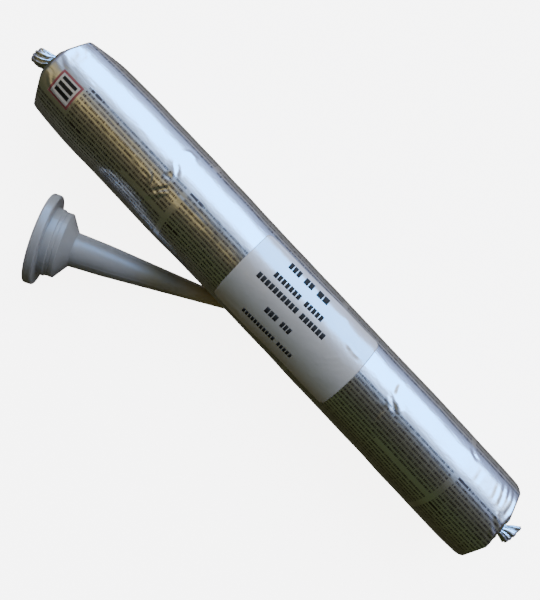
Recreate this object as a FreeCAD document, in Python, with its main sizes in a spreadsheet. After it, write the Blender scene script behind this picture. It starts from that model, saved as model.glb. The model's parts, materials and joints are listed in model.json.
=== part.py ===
import FreeCAD, Part
import math
import os

import Sketcher

# A sealant sausage: a soft tube of printed aluminium film, filled and gathered into
# a wire clip at both ends, with a label round its middle and its own moulded nozzle.
# The pack lies on its side along X and rests on a small flat. The nozzle lies beside
# it on the same surface, with its tip tucked under the flank of the pack.
# The origin is the middle of the flat that the pack rests on. Lengths are in
# millimetres and angles in degrees.

SIZES = [
    # The filled film tube.
    ("pack_radius", 24.5),
    ("pack_length", 314.0),
    ("rest_flat_width", 14.0),
    ("end_taper_length", 22.0),
    ("left_end_taper", 1.7),
    ("right_end_taper", 0.4),
    ("shoulder_round", 3.8),
    ("left_end_rise", 7.0),
    ("right_end_rise", 5.5),
    ("neck_radius", 2.9),
    # The radial folds that gather the film towards each neck.
    ("fold_count", 16),
    ("fold_depth", 1.3),
    ("fold_width", 2.4),
    ("long_fold_reach", 0.94),
    ("short_fold_reach", 0.62),
    # The pleated tails of film beyond the clips.
    ("tail_pleats", 9),
    ("pleat_depth", 0.26),
    ("left_tail_length", 8.6),
    ("left_tail_half_width", 4.9),
    ("left_tail_half_height", 4.2),
    ("left_tail_lean", -4.8),
    ("right_tail_length", 9.8),
    ("right_tail_half_width", 4.5),
    ("right_tail_half_height", 2.4),
    ("right_tail_lean", 4.0),
    # Two pinch marks pressed into the top of the film.
    ("dent_length", 13.0),
    ("dent_width", 9.0),
    ("dent_depth", 0.8),
    ("left_dent_x", -73.0),
    ("right_dent_x", 75.0),
    ("right_dent_turn", 13.0),
    # The crimped wire clips.
    ("clip_wire_radius", 1.1),
    ("clip_flat_depth", 0.3),
    ("clip_split", 0.4),
    ("clip_clearance", 0.05),
    # The label.
    ("label_length", 77.5),
    ("label_width", 49.0),
    ("label_thickness", 0.15),
    ("label_corner", 2.4),
    ("label_centre_x", 14.4),
    ("label_turn", 5.0),
    # The nozzle, measured along its own axis from the back of its flange.
    ("flange_clearance", 0.2),
    ("flange_thickness", 4.9),
    ("flange_round", 1.3),
    ("collar_radius", 18.1),
    ("collar_length", 3.5),
    ("collar_step", 0.6),
    ("second_collar_length", 4.5),
    ("hood_length", 5.4),
    ("root_radius", 9.3),
    ("root_length", 17.5),
    ("root_taper", 0.75),
    ("spout_length", 77.4),
    ("tip_radius", 2.75),
    ("tip_round", 0.4),
    ("spout_wall", 1.3),
    ("collar_wall", 1.8),
    # Where the nozzle lies.
    ("nozzle_heading", 27.0),
    ("nozzle_tip_x", -7.7),
    ("nozzle_gap", 0.3),
]

doc = FreeCAD.newDocument("caulk_tube")


def fill_sheet():
    """The sheet of driving sizes, one aliased cell to a size."""
    sheet = doc.addObject("Spreadsheet::Sheet", "Sizes")
    for row, (alias, value) in enumerate(SIZES, start=1):
        sheet.set(f"A{row}", alias)
        sheet.set(f"B{row}", str(value))
        sheet.setAlias(f"B{row}", alias)
    doc.recompute()
    return sheet


sheet = fill_sheet()


def size(alias):
    """A driving size, read back from the sheet."""
    return float(getattr(sheet, alias))


# What follows from the driving sizes, as expressions on the sheet.
AXIS_HEIGHT = "sqrt(Sizes.pack_radius ^ 2 - (Sizes.rest_flat_width / 2) ^ 2)"
HALF_LENGTH = "(Sizes.pack_length / 2)"
TAPER_START = "(Sizes.pack_length / 2 - Sizes.end_taper_length)"
CLIP_MAJOR = "(Sizes.neck_radius + Sizes.clip_clearance + Sizes.clip_wire_radius)"
# The flange goes into the same gun barrel as the pack, so its size follows the pack's.
FLANGE_RADIUS = "(Sizes.pack_radius - Sizes.flange_clearance)"
ENDS = {-1: "left", 1: "right"}


def neck_x(side):
    """How far out one end's cone reaches its neck, as an expression."""
    return f"(Sizes.pack_length / 2 + Sizes.{ENDS[side]}_end_rise)"


def value_of(expression):
    """The number that an expression on the sheet has now."""
    found = sheet.evalExpression(str(expression))
    return float(getattr(found, "Value", found))


def bind(thing, path, expression):
    """Binds one property to an expression on the sheet."""
    thing.setExpression(path, str(expression))


def add_outline(body, name, corners):
    """A closed outline in the body's XZ plane: each corner is a pair of expressions, along X and up from the axis."""
    sketch = body.newObject("Sketcher::SketchObject", name)
    plane = [f for f in body.Origin.OriginFeatures if f.Role == "XZ_Plane"][0]
    sketch.AttachmentSupport = (plane, [""])
    sketch.MapMode = "FlatFace"
    points = [FreeCAD.Vector(value_of(x), value_of(y), 0) for x, y in corners]
    for start, end in zip(points, points[1:] + points[:1]):
        sketch.addGeometry(Part.LineSegment(start, end), False)
    count = len(corners)
    for edge in range(count):
        sketch.addConstraint(
            Sketcher.Constraint("Coincident", edge, 2, (edge + 1) % count, 1)
        )
    for edge, (x, y) in enumerate(corners):
        for kind, axis, expression in (("DistanceX", -2, x), ("DistanceY", -1, y)):
            if str(expression) == "0":
                sketch.addConstraint(
                    Sketcher.Constraint("PointOnObject", edge, 1, axis)
                )
                continue
            datum = sketch.addConstraint(
                Sketcher.Constraint(kind, -1, 1, edge, 1, value_of(expression))
            )
            bind(sketch, f"Constraints[{datum}]", expression)
    return sketch


def revolve(body, name, sketch, angle="360"):
    """Turns an outline about the body's X axis."""
    turned = body.newObject("PartDesign::Revolution", name)
    turned.Profile = (sketch, [""])
    turned.ReferenceAxis = (sketch, ["H_Axis"])
    bind(turned, "Angle", angle)
    doc.recompute()
    return turned


def round_edges(body, name, base, wanted, radius):
    """Rounds the edges of the base feature that the test picks out."""
    names = [
        f"Edge{n}" for n, edge in enumerate(base.Shape.Edges, start=1) if wanted(edge)
    ]
    rounded = body.newObject("PartDesign::Fillet", name)
    rounded.Base = (base, names)
    bind(rounded, "Radius", radius)
    body.Tip = rounded
    doc.recompute()
    return rounded


def is_ring(edge, x, radius):
    """True for a circle about the X axis at that place, of that radius."""
    curve = edge.Curve
    return (
        isinstance(curve, Part.Circle)
        and abs(curve.Center.x - x) < 0.01
        and abs(curve.Radius - radius) < 0.01
    )


def make_filled_tube():
    """The filled film tube: a long barrel that tapers a little to rounded shoulders, and shallow end cones."""
    body = doc.addObject("PartDesign::Body", "filled_tube")
    bind(body, "Placement.Base.z", AXIS_HEIGHT)
    left_edge = "Sizes.pack_radius - Sizes.left_end_taper"
    right_edge = "Sizes.pack_radius - Sizes.right_end_taper"
    sketch = add_outline(
        body,
        "tube_outline",
        [
            (f"-{neck_x(-1)}", "0"),
            (f"-{neck_x(-1)}", "Sizes.neck_radius"),
            (f"-{HALF_LENGTH}", left_edge),
            (f"-{TAPER_START}", "Sizes.pack_radius"),
            (TAPER_START, "Sizes.pack_radius"),
            (HALF_LENGTH, right_edge),
            (neck_x(1), "Sizes.neck_radius"),
            (neck_x(1), "0"),
        ],
    )
    turned = revolve(body, "tube_turned", sketch)
    half = value_of(HALF_LENGTH)
    left = value_of(left_edge)
    right = value_of(right_edge)
    round_edges(
        body,
        "shoulders",
        turned,
        lambda edge: is_ring(edge, -half, left) or is_ring(edge, half, right),
        "Sizes.shoulder_round",
    )
    return body


def fold_tool(side, turn, reach):
    """One radial fold: a sliver with four corners that is deepest at the neck and runs out towards the shoulder."""
    end = ENDS[side]
    edge_radius = size("pack_radius") - size(f"{end}_end_taper")
    neck = size("neck_radius")
    run = reach * (edge_radius - neck)
    slope = size(f"{end}_end_rise") / (edge_radius - neck)
    half_width = size("fold_width") / 2
    axis_height = value_of(AXIS_HEIGHT)

    def place(out, radius, sideways):
        """A point at a height above the end cone, a radius and a sideways shift."""
        x = side * (value_of(neck_x(side)) - (radius - neck) * slope + out)
        corner = FreeCAD.Vector(x, sideways, radius)
        corner = FreeCAD.Rotation(FreeCAD.Vector(1, 0, 0), turn) * corner
        return corner + FreeCAD.Vector(0, 0, axis_height)

    valley = place(-size("fold_depth"), neck, 0)
    left = place(size("fold_depth"), neck, -half_width)
    right = place(size("fold_depth"), neck, half_width)
    far = place(0, neck + run, 0)
    corners = [valley, left, right, far]
    faces = []
    for skipped in range(4):
        rim = [corner for n, corner in enumerate(corners) if n != skipped]
        faces.append(Part.Face(Part.makePolygon(rim + rim[:1])))
    solid = Part.Solid(Part.Shell(faces))
    if solid.Volume < 0:
        solid.reverse()
    return solid


def make_folds(side):
    """The ring of radial folds at one end, long and short by turns."""
    count = int(size("fold_count"))
    reaches = (size("long_fold_reach"), size("short_fold_reach"))
    tools = [
        fold_tool(side, 360.0 * n / count, reaches[n % 2])
        for n in range(count)
    ]
    feature = doc.addObject("Part::Feature", f"{ENDS[side]}_folds")
    feature.Shape = Part.makeCompound(tools)
    return feature


def pleated_ring(x, centre_y, half_width, half_height):
    """A closed zigzag about the neck: as many peaks as the tail has pleats, with valleys between them."""
    pleats = int(size("tail_pleats"))
    axis_height = value_of(AXIS_HEIGHT)
    corners = []
    for n in range(2 * pleats):
        angle = math.pi * n / pleats
        share = 1.0 if n % 2 == 0 else 1.0 - size("pleat_depth")
        y = centre_y + half_width * share * math.cos(angle)
        z = axis_height + half_height * share * math.sin(angle)
        corners.append(FreeCAD.Vector(x, y, z))
    return Part.makePolygon(corners + corners[:1])


def make_tail(side, rings):
    """The neck through one clip and the pleated tail of film beyond it, which leans to one side.

    Each ring is a share of the tail's length, of its lean, and of its growth from neck to full size.
    """
    end = ENDS[side]
    neck = size("neck_radius")
    tail_start = value_of(neck_x(side)) + 2 * size("clip_wire_radius")
    length = size(f"{end}_tail_length")
    lean = size(f"{end}_tail_lean")
    half_width = size(f"{end}_tail_half_width") - neck
    half_height = size(f"{end}_tail_half_height") - neck
    root = value_of(neck_x(side)) - size(f"{end}_end_rise") / 2
    wires = [pleated_ring(side * root, 0.0, neck, neck)]
    for share, lean_share, growth in rings:
        wires.append(
            pleated_ring(
                side * (tail_start + share * length),
                lean * lean_share,
                neck + half_width * growth,
                neck + half_height * growth,
            )
        )
    feature = doc.addObject("Part::Feature", f"{end}_tail")
    feature.Shape = Part.makeLoft(wires, True, True)
    return feature


def make_dent(name, x, turn):
    """A shallow oval hollow across the top of the tube, at a place along it and turned about its axis."""
    dent = doc.addObject("Part::Ellipsoid", name)
    dent.Angle1 = -90
    dent.Angle2 = 90
    # A bulge four times as deep as the dent, sunk so that only its foot bites.
    bind(dent, "Radius1", "Sizes.dent_depth * 4")
    bind(dent, "Radius2", "Sizes.dent_length * 0.76")
    bind(dent, "Radius3", "Sizes.dent_width * 0.76")
    doc.recompute()
    reach = size("pack_radius") + 3 * size("dent_depth")
    lean = FreeCAD.Rotation(FreeCAD.Vector(1, 0, 0), -turn)
    centre = lean * FreeCAD.Vector(0, 0, reach) + FreeCAD.Vector(
        x, 0, value_of(AXIS_HEIGHT)
    )
    dent.Placement = FreeCAD.Placement(centre, lean)
    return dent


def make_floor_block():
    """What lies under the floor: it takes the rest flat off the round tube."""
    block = doc.addObject("Part::Box", "below_floor")
    bind(block, "Length", "Sizes.pack_length * 2")
    bind(block, "Width", "Sizes.pack_radius * 4")
    bind(block, "Height", "Sizes.pack_radius")
    bind(block, "Placement.Base.x", "-Sizes.pack_length")
    bind(block, "Placement.Base.y", "-Sizes.pack_radius * 2")
    bind(block, "Placement.Base.z", "-Sizes.pack_radius")
    return block


def make_foil_pack():
    """The sealed pack: film, filling, gathered ends, necks and tails in one."""
    tube = make_filled_tube()
    # The left tail is a short tuft, rounded over at its end. The right one is a fan, cut square.
    left_tail = make_tail(
        -1,
        [
            (0.0, 0.0, 0.0),
            (0.2, 0.3, 0.8),
            (0.55, 0.7, 1.0),
            (0.85, 0.95, 0.9),
            (1.0, 1.0, 0.4),
        ],
    )
    right_tail = make_tail(1, [(0.0, 0.0, 0.0), (0.4, 0.4, 0.5), (1.0, 1.0, 1.0)])
    cutters = [
        make_floor_block(),
        make_dent("left_dent", size("left_dent_x"), 0.0),
        make_dent("right_dent", size("right_dent_x"), size("right_dent_turn")),
        make_folds(-1),
        make_folds(1),
    ]
    shape = tube
    for cutter in cutters:
        cut = doc.addObject("Part::Cut", f"less_{cutter.Name}")
        cut.Base = shape
        cut.Tool = cutter
        shape = cut
    pack = doc.addObject("Part::MultiFuse", "foil_pack")
    pack.Shapes = [shape, left_tail, right_tail]
    pack.Label = "foil_pack"
    return pack


def make_clip(label, side):
    """A wire clip crimped round one neck: a ring of round wire, pressed flat on both faces, with its ends butted."""
    ring = doc.addObject("Part::Torus", f"{label}_ring")
    bind(ring, "Radius1", CLIP_MAJOR)
    bind(ring, "Radius2", "Sizes.clip_wire_radius")
    jaws = doc.addObject("Part::Box", f"{label}_jaws")
    outer = f"({CLIP_MAJOR} + Sizes.clip_wire_radius)"
    thickness = "(2 * Sizes.clip_wire_radius - 2 * Sizes.clip_flat_depth)"
    across = f"({outer} - Sizes.clip_flat_depth)"
    bind(jaws, "Length", f"{across} * 2")
    bind(jaws, "Width", f"{across} * 2")
    bind(jaws, "Height", thickness)
    bind(jaws, "Placement.Base.x", f"-{across}")
    bind(jaws, "Placement.Base.y", f"-{across}")
    bind(jaws, "Placement.Base.z", f"-{thickness} / 2")
    pressed = doc.addObject("Part::Common", f"{label}_pressed")
    pressed.Base = ring
    pressed.Tool = jaws
    gap = doc.addObject("Part::Box", f"{label}_gap")
    bind(gap, "Length", outer)
    bind(gap, "Width", "Sizes.clip_split")
    bind(gap, "Height", "Sizes.clip_wire_radius * 4")
    bind(gap, "Placement.Base.y", "-Sizes.clip_split / 2")
    bind(gap, "Placement.Base.z", "-Sizes.clip_wire_radius * 2")
    clip = doc.addObject("Part::Cut", label)
    clip.Base = pressed
    clip.Tool = gap
    clip.Label = label
    doc.recompute()
    # The ring's own axis is Z: it is laid along X, with its butted ends underneath.
    clip_x = value_of(neck_x(side)) + size("clip_wire_radius")
    centre = FreeCAD.Vector(side * clip_x, 0, value_of(AXIS_HEIGHT))
    clip.Placement = FreeCAD.Placement(
        centre, FreeCAD.Rotation(FreeCAD.Vector(0, 1, 0), 90)
    )
    return clip


def make_label():
    """The label: a thin rectangle with rounded corners, wrapped on the tube."""
    body = doc.addObject("PartDesign::Body", "label")
    body.Label = "label"
    start = "(Sizes.label_centre_x - Sizes.label_length / 2)"
    end = "(Sizes.label_centre_x + Sizes.label_length / 2)"
    top = "(Sizes.pack_radius + Sizes.label_thickness)"
    sketch = add_outline(
        body,
        "label_section",
        [
            (start, "Sizes.pack_radius"),
            (start, top),
            (end, top),
            (end, "Sizes.pack_radius"),
        ],
    )
    wrap = math.degrees(size("label_width") / size("pack_radius"))
    wrapped = revolve(
        body, "label_wrapped", sketch, "Sizes.label_width / Sizes.pack_radius * 180 / pi"
    )
    thickness = size("label_thickness")
    round_edges(
        body,
        "label_corners",
        wrapped,
        lambda edge: isinstance(edge.Curve, Part.Line)
        and abs(edge.Length - thickness) < 0.01,
        "Sizes.label_corner",
    )
    middle = body.Shape.Solids[0].CenterOfMass
    turned_to = math.degrees(math.atan2(middle.y, middle.z))
    turn = FreeCAD.Rotation(FreeCAD.Vector(1, 0, 0), turned_to + size("label_turn"))
    body.Placement = FreeCAD.Placement(
        FreeCAD.Vector(0, 0, value_of(AXIS_HEIGHT)), turn
    )
    if wrap > 360:
        raise ValueError("the label is wider than the tube is round")
    return body


def nozzle_stations():
    """Where the nozzle's sections meet along its axis, as expressions."""
    collar_end = "(Sizes.flange_thickness + Sizes.collar_length)"
    second_end = f"({collar_end} + Sizes.second_collar_length)"
    hood_end = f"({second_end} + Sizes.hood_length)"
    root_end = f"({hood_end} + Sizes.root_length)"
    tip = f"({root_end} + Sizes.spout_length)"
    return collar_end, second_end, hood_end, root_end, tip


def make_nozzle(pack):
    """The nozzle: a flange and a stepped collar, then a hood that narrows to a long tapered spout, hollow all through."""
    body = doc.addObject("PartDesign::Body", "nozzle")
    body.Label = "nozzle"
    collar_end, second_end, hood_end, root_end, tip = nozzle_stations()
    second_radius = "(Sizes.collar_radius - Sizes.collar_step)"
    spout_root = "(Sizes.root_radius - Sizes.root_taper)"
    socket = "(Sizes.collar_radius - Sizes.collar_wall)"
    sketch = add_outline(
        body,
        "nozzle_outline",
        [
            ("0", FLANGE_RADIUS),
            ("Sizes.flange_thickness", FLANGE_RADIUS),
            ("Sizes.flange_thickness", "Sizes.collar_radius"),
            (collar_end, "Sizes.collar_radius"),
            (f"({collar_end} + Sizes.collar_step / 2)", second_radius),
            (second_end, second_radius),
            (hood_end, "Sizes.root_radius"),
            (root_end, spout_root),
            (tip, "Sizes.tip_radius"),
            (tip, "(Sizes.tip_radius - Sizes.spout_wall)"),
            (root_end, f"({spout_root} - Sizes.spout_wall)"),
            (
                f"({hood_end} - Sizes.spout_wall / 2)",
                "(Sizes.root_radius - Sizes.spout_wall)",
            ),
            (f"({second_end} - Sizes.spout_wall)", socket),
            ("0", socket),
        ],
    )
    turned = revolve(body, "nozzle_turned", sketch)
    flange_front = size("flange_thickness")
    flange = value_of(FLANGE_RADIUS)
    rimmed = round_edges(
        body,
        "flange_rim",
        turned,
        lambda edge: is_ring(edge, 0.0, flange) or is_ring(edge, flange_front, flange),
        "Sizes.flange_round",
    )
    tip_x = value_of(tip)
    tip_radius = size("tip_radius")
    round_edges(
        body,
        "tip_rim",
        rimmed,
        lambda edge: is_ring(edge, tip_x, tip_radius),
        "Sizes.tip_round",
    )
    lay_nozzle(body, pack, tip_x)
    return body


def lay_nozzle(body, pack, tip_x):
    """Lays the nozzle on the floor, on its flange and its tip, and slides it sideways until the tip is a small gap from the pack."""
    # The rounded rims touch the floor: their rounding centres are what the tilt brings level.
    along = (tip_x - size("tip_round")) - (
        size("flange_thickness") - size("flange_round")
    )
    rim_radius = value_of(FLANGE_RADIUS) - size("flange_round")
    across = rim_radius - (size("tip_radius") - size("tip_round"))
    excess = size("flange_round") - size("tip_round")
    tilt = math.atan2(across, along) + math.asin(excess / math.hypot(along, across))
    rim_x = size("flange_thickness") - size("flange_round")
    back_height = (
        rim_x * math.sin(tilt) + rim_radius * math.cos(tilt) + size("flange_round")
    )
    lean = FreeCAD.Rotation(FreeCAD.Vector(0, 1, 0), math.degrees(tilt))
    heading = FreeCAD.Rotation(FreeCAD.Vector(0, 0, 1), size("nozzle_heading"))
    turn = heading * lean
    tip_offset = turn * FreeCAD.Vector(tip_x, 0, 0)
    base = FreeCAD.Vector(size("nozzle_tip_x") - tip_offset.x, 0, back_height)
    base.y = -2 * size("pack_radius") - tip_offset.y
    body.Placement = FreeCAD.Placement(base, turn)
    most_slides = 40
    for _ in range(most_slides):
        spare = pack.Shape.distToShape(body.Shape)[0] - size("nozzle_gap")
        if abs(spare) < 0.002:
            break
        base.y += 0.9 * spare
        body.Placement = FreeCAD.Placement(base, turn)


def check(features):
    """Stops the build if any object failed or any sub-part is not a valid solid."""
    for thing in doc.Objects:
        if "Invalid" in thing.State or "Error" in thing.State:
            raise ValueError(f"{thing.Name} failed: {thing.State}")
    for feature in features:
        shape = feature.Shape
        if shape.isNull() or not shape.isValid() or not shape.Solids:
            raise ValueError(f"{feature.Label} is not a valid solid")


def main():
    """Builds the sub-parts and writes each as a STEP file."""
    pack = make_foil_pack()
    doc.recompute()
    features = [
        pack,
        make_clip("left_end_clip", -1),
        make_clip("right_end_clip", 1),
        make_label(),
        make_nozzle(pack),
    ]
    doc.recompute()
    check(features)
    os.makedirs("parts", exist_ok=True)
    for feature in features:
        feature.Shape.exportStep(os.path.join("parts", feature.Label + ".step"))
        volume = round(feature.Shape.Volume / 1000, 2)
        print(feature.Label, len(feature.Shape.Solids), "solid,", volume, "cm3")


main()
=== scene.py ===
import json
import math

import bpy
import numpy as np
from mathutils import Matrix, Vector


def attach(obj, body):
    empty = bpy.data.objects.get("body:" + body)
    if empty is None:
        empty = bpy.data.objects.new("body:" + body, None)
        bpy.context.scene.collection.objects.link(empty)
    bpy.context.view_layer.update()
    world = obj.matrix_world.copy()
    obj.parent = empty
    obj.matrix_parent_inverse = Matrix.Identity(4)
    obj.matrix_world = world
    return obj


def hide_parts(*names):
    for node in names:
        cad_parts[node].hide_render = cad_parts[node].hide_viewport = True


# A foil sealant sausage with its label and nozzle. Lengths in this script are in
# millimetres until a mesh is made, and a place on the film is given as x along the
# pack and s round it, counted from the top towards +Y.

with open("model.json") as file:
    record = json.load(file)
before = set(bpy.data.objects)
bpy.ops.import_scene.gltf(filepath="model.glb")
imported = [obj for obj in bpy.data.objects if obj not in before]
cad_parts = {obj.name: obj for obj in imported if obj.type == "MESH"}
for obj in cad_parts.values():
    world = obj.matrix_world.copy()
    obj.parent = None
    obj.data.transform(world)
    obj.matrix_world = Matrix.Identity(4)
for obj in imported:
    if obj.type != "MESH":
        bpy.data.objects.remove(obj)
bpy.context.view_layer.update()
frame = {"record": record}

MM = 0.001
RADIUS = 24.5
REST_HALF_WIDTH = 7.0
AXIS_Z = math.sqrt(RADIUS**2 - REST_HALF_WIDTH**2)
rng = np.random.default_rng(11)


def smooth(low, high, value):
    """0 below low, 1 above high, and an even curve between. high may be under low."""
    t = np.clip((value - low) / (high - low), 0.0, 1.0)
    return t * t * (3.0 - 2.0 * t)


def make_mesh(name, points, faces, uvs=None):
    """A smooth object from points in millimetres, with a UV pair for each face corner if given."""
    mesh = bpy.data.meshes.new(name)
    mesh.from_pydata((np.asarray(points) * MM).tolist(), [], faces)
    if uvs is not None:
        layer = mesh.uv_layers.new(name="film")
        layer.data.foreach_set("uv", np.asarray(uvs, dtype=np.float32).ravel())
    mesh.polygons.foreach_set("use_smooth", np.ones(len(mesh.polygons), dtype=bool))
    mesh.update()
    obj = bpy.data.objects.new(name, mesh)
    bpy.context.collection.objects.link(obj)
    return obj


def tube_faces(rings, columns, wrap=True):
    """Quads between neighbouring rings: the ring and the unwrapped column of each face corner."""
    ring = np.arange(rings - 1)[:, None]
    column = np.arange(columns if wrap else columns - 1)[None, :]
    corners = [(0, 0), (1, 0), (1, 1), (0, 1)]
    ring_of = np.stack([ring + a + 0 * column for a, b in corners], -1).reshape(-1, 4)
    column_of = np.stack([column + b + 0 * ring for a, b in corners], -1).reshape(-1, 4)
    return ring_of, column_of


def slab_faces(rings, columns, first=0):
    """Faces of a thin slab: an upper grid, the same grid under it, and the rim between them."""
    ring_of, column_of = tube_faces(rings, columns, wrap=False)
    index = first + ring_of * columns + column_of
    count = rings * columns
    faces = index[:, ::-1].tolist() + (index + count).tolist()
    rim = [(i, 0) for i in range(rings)] + [(rings - 1, j) for j in range(1, columns)]
    rim += [(i, columns - 1) for i in range(rings - 2, -1, -1)]
    rim += [(0, j) for j in range(columns - 2, 0, -1)]
    rim = [first + i * columns + j for i, j in rim]
    for here, following in zip(rim, rim[1:] + rim[:1]):
        faces.append([here, following, following + count, here + count])
    return faces


# The film's own form.


def path_distance(x, s, path):
    """How far each place is from a broken line, and how far along the line it is as a share."""
    path = np.asarray(path, dtype=float)
    steps = np.diff(path, axis=0)
    lengths = np.hypot(steps[:, 0], steps[:, 1])
    starts = np.concatenate([[0.0], np.cumsum(lengths)[:-1]])
    nearest = np.full(x.shape, 1e9)
    share = np.zeros(x.shape)
    for (px, ps), (dx, ds), length, start in zip(path[:-1], steps, lengths, starts):
        t = np.clip(((x - px) * dx + (s - ps) * ds) / length**2, 0.0, 1.0)
        d = np.hypot(x - px - t * dx, s - ps - t * ds)
        closer = d < nearest
        nearest = np.where(closer, d, nearest)
        share = np.where(closer, (start + t * length) / lengths.sum(), share)
    return nearest, share


def crease(x, s, path, depth, width, lip=0.4):
    """A sharp valley along a path with a low lip each side. A negative depth makes a ridge."""
    d, share = path_distance(x, s, path)
    fade = np.clip(np.minimum(share, 1.0 - share) * 6.0, 0.25, 1.0)
    valley = np.exp(-d / width)
    lips = lip * np.exp(-(((d - 2.2 * width) / width) ** 2))
    return fade * depth * (lips - valley)


def dent(x, s, centre, radii, depth, turn=0.0):
    """A smooth oval hollow."""
    c, n = math.cos(math.radians(turn)), math.sin(math.radians(turn))
    dx, ds = x - centre[0], s - centre[1]
    q = ((c * dx + n * ds) / radii[0]) ** 2 + ((c * ds - n * dx) / radii[1]) ** 2
    return -depth * np.clip(1.0 - q, 0.0, 1.0) ** 1.5


# Each crease: its path as places on the film, its depth, and its width.
CREASES = [
    # The left pinch mark.
    ([(-80.0, 9.0), (-77.3, 7.2), (-75.5, 5.0), (-74.6, 3.0)], 0.4, 0.8),
    ([(-82.5, 11.0), (-81.0, 7.8), (-78.3, 5.4), (-76.2, 4.4)], -0.12, 1.3),
    ([(-82.6, 16.0), (-80.5, 18.6), (-76.6, 18.6), (-74.6, 14.0)], -0.2, 0.9),
    ([(-74.8, 9.5), (-74.3, 13.5), (-75.6, 17.5)], 0.2, 1.0),
    ([(-73.0, -1.8), (-75.3, -5.0), (-78.0, -9.2)], 0.34, 0.9),
    ([(-73.2, -4.0), (-76.2, -8.5), (-79.0, -13.0), (-79.8, -16.5)], -0.2, 1.2),
    ([(-88.0, -3.5), (-84.0, -4.3), (-81.6, -8.0), (-77.8, -9.2)], -0.2, 0.8),
    ([(-76.0, 2.6), (-78.6, 0.4), (-78.0, -3.0)], 0.14, 1.0),
    # Long soft folds along the film.
    ([(-131.0, -2.6), (-110.0, -3.0), (-88.0, -3.4)], -0.1, 1.1),
    ([(-73.0, -2.2), (-65.0, -2.0), (-47.0, -1.8)], -0.13, 0.8),
    ([(94.0, -16.0), (104.0, -16.2)], -0.1, 0.8),
    ([(131.5, -17.0), (135.5, -17.4)], -0.14, 0.8),
    # The left end.
    ([(-154.0, -6.0), (-150.5, -9.5), (-145.0, -11.0), (-134.0, -11.3)], -0.26, 0.8),
    ([(-157.0, 5.0), (-152.0, 2.0), (-148.0, 0.5)], 0.18, 1.2),
    ([(-156.0, 20.5), (-151.0, 15.0), (-147.0, 12.0)], 0.14, 1.2),
    ([(-155.0, -18.0), (-148.0, -19.5), (-141.0, -19.0)], 0.2, 1.2),
    # The right pinch mark.
    ([(72.2, 7.6), (74.5, 5.4), (77.0, 4.0), (79.2, 3.0)], 0.3, 1.0),
    ([(76.0, 7.8), (79.0, 5.2), (81.8, 4.3)], -0.22, 1.4),
    ([(72.0, 15.0), (74.0, 10.5), (77.2, 8.2)], 0.2, 1.1),
    ([(74.6, 3.0), (73.6, -1.0), (74.4, -5.0), (75.6, -9.5)], 0.1, 1.0),
    ([(76.6, 1.5), (75.6, -2.5), (76.2, -7.5)], -0.08, 0.9),
    ([(120.5, 21.0), (122.2, 19.0), (125.2, 17.8)], 0.28, 0.9),
    # Short wrinkles round the right end.
    ([(130.0, 15.5), (130.4, 8.0)], 0.12, 0.9),
    ([(141.6, 16.5), (142.6, 8.6)], 0.08, 0.9),
    ([(145.0, 21.0), (146.4, 13.0), (147.0, 7.6)], 0.12, 0.9),
    ([(149.0, 21.5), (149.8, 14.0)], 0.12, 0.9),
    ([(151.6, 24.0), (152.8, 14.0), (152.2, 6.0)], 0.13, 0.9),
    ([(147.5, 5.5), (150.5, 3.5), (153.5, 2.0)], -0.25, 1.1),
    ([(151.0, -1.0), (153.0, -3.6), (155.5, -4.8)], -0.26, 0.9),
    ([(146.0, -14.0), (151.0, -12.0), (156.0, -12.5)], 0.2, 1.1),
    ([(143.0, -28.0), (150.0, -26.0), (156.0, -27.0)], 0.24, 1.2),
    # The hidden side.
    ([(-118.0, 52.0), (-96.0, 50.0), (-70.0, 53.0)], 0.16, 1.6),
    ([(20.0, 44.0), (52.0, 47.0), (90.0, 45.0)], -0.14, 1.6),
    ([(-30.0, -46.0), (4.0, -48.5), (40.0, -46.0)], 0.16, 1.6),
]
# Each dent: its centre, its radii, its depth and its turn.
DENTS = [
    ((-78.4, 12.4), (3.9, 6.2), 0.34, 0.0),
    ((-78.2, 1.6), (2.6, 2.4), 0.22, 0.0),
    ((74.4, 11.4), (3.8, 5.4), 0.36, 20.0),
    ((74.4, -3.6), (2.6, 6.4), 0.12, 0.0),
    ((-152.0, 9.0), (6.0, 7.0), 0.25, 0.0),
    ((-20.0, 58.0), (26.0, 8.0), 0.5, 0.0),
    ((104.0, -50.0), (22.0, 8.0), 0.5, 0.0),
]


# Slow waves, which bend the edges of the reflections a little: length, height, turn and phase.
WAVE_SIZES = [(95.0, 0.06), (57.0, 0.05), (33.0, 0.03), (21.0, 0.02)]
WAVES = [
    (length, height, rng.uniform(-0.5, 0.5), rng.uniform(0, 2 * math.pi))
    for length, height in WAVE_SIZES
    for _ in range(3)
]


def bow(x):
    """How far the pack's middle stands off a straight line, towards +Y."""
    return 0.2 - 0.55 * (x / 157.0) ** 2


def swell(x):
    """How much fuller than even the film is. The left half is the fullest."""
    left = 0.6 * smooth(0.0, -85.0, x) * smooth(-150.0, -122.0, x)
    return left + 0.15 * smooth(25.0, 80.0, x) - 0.15


def film_relief(x, s):
    """How far the film stands off its round form, from its creases, dents and slow waves."""
    relief = swell(x)
    for path, depth, width in CREASES:
        relief += crease(x, s, path, depth, width)
    for centre, radii, depth, turn in DENTS:
        relief += dent(x, s, centre, radii, depth, turn)
    for length, height, turn, phase in WAVES:
        along = x * math.cos(turn) + s * 1.4 * math.sin(turn)
        relief += height * np.sin(2 * math.pi * along / length + phase)
    return relief


# The lapped seam on the hidden side: its outer edge, its width and its height.
SEAM_AT = 54.0
SEAM_LAP = 7.0
SEAM_HEIGHT = 0.14


def seam_relief(s):
    """One edge of the film lies over the other along the seam."""
    rise = smooth(SEAM_AT - SEAM_LAP, SEAM_AT - SEAM_LAP + 0.5, s)
    fall = 1.0 - smooth(SEAM_AT, SEAM_AT + 4.0, s)
    return SEAM_HEIGHT * rise * fall


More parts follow.
